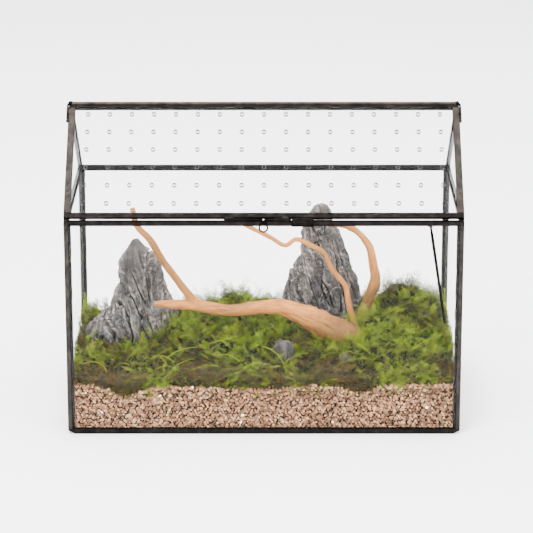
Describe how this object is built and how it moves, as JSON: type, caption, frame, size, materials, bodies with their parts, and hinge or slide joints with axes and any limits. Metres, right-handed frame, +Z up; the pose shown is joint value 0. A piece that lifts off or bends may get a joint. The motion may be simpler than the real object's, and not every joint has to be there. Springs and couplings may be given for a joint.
{
  "type": "glass pet vivarium",
  "caption": "House-shaped glass pet tank in a blackened metal frame, with a hinged perforated roof lid, wire latch, prop stay and planted gravel landscape.",
  "frame": {"origin": "centre of the underside of the glass floor", "axes": "+X along the ridge to the right as seen from the lid's latch side, +Y to the back, +Z up"},
  "size_m": [0.4046, 0.2235, 0.322],
  "materials": {
    "frame_came": "blackened and rubbed, antique bronze",
    "lid_came": "blackened and rubbed, antique bronze",
    "wire": "blackened wire",
    "tank_glass": "clear float glass",
    "lid_glass": "clear float glass, drilled",
    "sealant": "black silicone bead",
    "gravel": "loose tan and beige gravel",
    "stone": "rough grey landscape stone with pale veins",
    "driftwood": "bare weathered driftwood",
    "moss": "soft green moss"
  },
  "bodies": {
    "tank": {"base_bar_front": "frame_came", "base_bar_rear": "frame_came", "base_bar_left": "frame_came", "base_bar_right": "frame_came", "post_front_left": "frame_came", "post_front_right": "frame_came", "post_rear_left": "frame_came", "post_rear_right": "frame_came", "front_rail": "frame_came", "rear_eave_bar": "frame_came", "side_eave_bar_left": "frame_came", "side_eave_bar_right": "frame_came", "rake_front_left": "frame_came", "rake_front_right": "frame_came", "rake_rear_left": "frame_came", "rake_rear_right": "frame_came", "ridge_tube": "frame_came", "ridge_bar": "frame_came", "latch_keeper": "frame_came", "base_pane": "tank_glass", "front_pane": "tank_glass", "rear_pane": "tank_glass", "left_pane": "tank_glass", "right_pane": "tank_glass", "gable_pane_left": "tank_glass", "gable_pane_right": "tank_glass", "rear_roof_pane": "tank_glass", "sealant_front_left": "sealant", "sealant_front_right": "sealant", "sealant_rear_left": "sealant", "sealant_rear_right": "sealant", "stay_staple": "wire", "gravel_bed": "gravel", "stone_left": "stone", "stone_right": "stone", "stone_small_front": "stone", "stone_small_middle": "stone", "stone_small_right": "stone", "driftwood_trunk": "driftwood", "driftwood_branch_left": "driftwood", "driftwood_branch_middle": "driftwood", "driftwood_branch_right": "driftwood", "moss_front_center": "moss", "moss_front_left": "moss", "moss_front_middle": "moss", "moss_front_right": "moss", "moss_rear_left": "moss", "moss_rear_middle": "moss", "moss_rear_right": "moss"},
    "lid": {"lid_bar_top": "lid_came", "lid_bar_bottom": "lid_came", "lid_bar_left": "lid_came", "lid_bar_right": "lid_came", "latch_tube_left": "lid_came", "latch_tube_right": "lid_came", "lid_pane": "lid_glass", "hinge_rod": "wire"},
    "bolt": {"latch_bolt": "wire"},
    "stay": {"stay_rod": "wire"}
  },
  "joints": [
    {"name": "lid_hinge", "type": "hinge", "parent": "tank", "child": "lid", "pos_m": [0, 0, 0.3198], "axis": [-1, 0, 0], "range_deg": [0, 180]},
    {"name": "bolt_slide", "type": "slide", "parent": "lid", "child": "bolt", "axis": [1, 0, 0], "range_m": [0, 0.005]},
    {"name": "stay_hinge", "type": "hinge", "parent": "tank", "child": "stay", "pos_m": [0.167, -0.103, 0.2178], "axis": [1, 0, 0], "range_deg": [0, 120]}
  ]
}
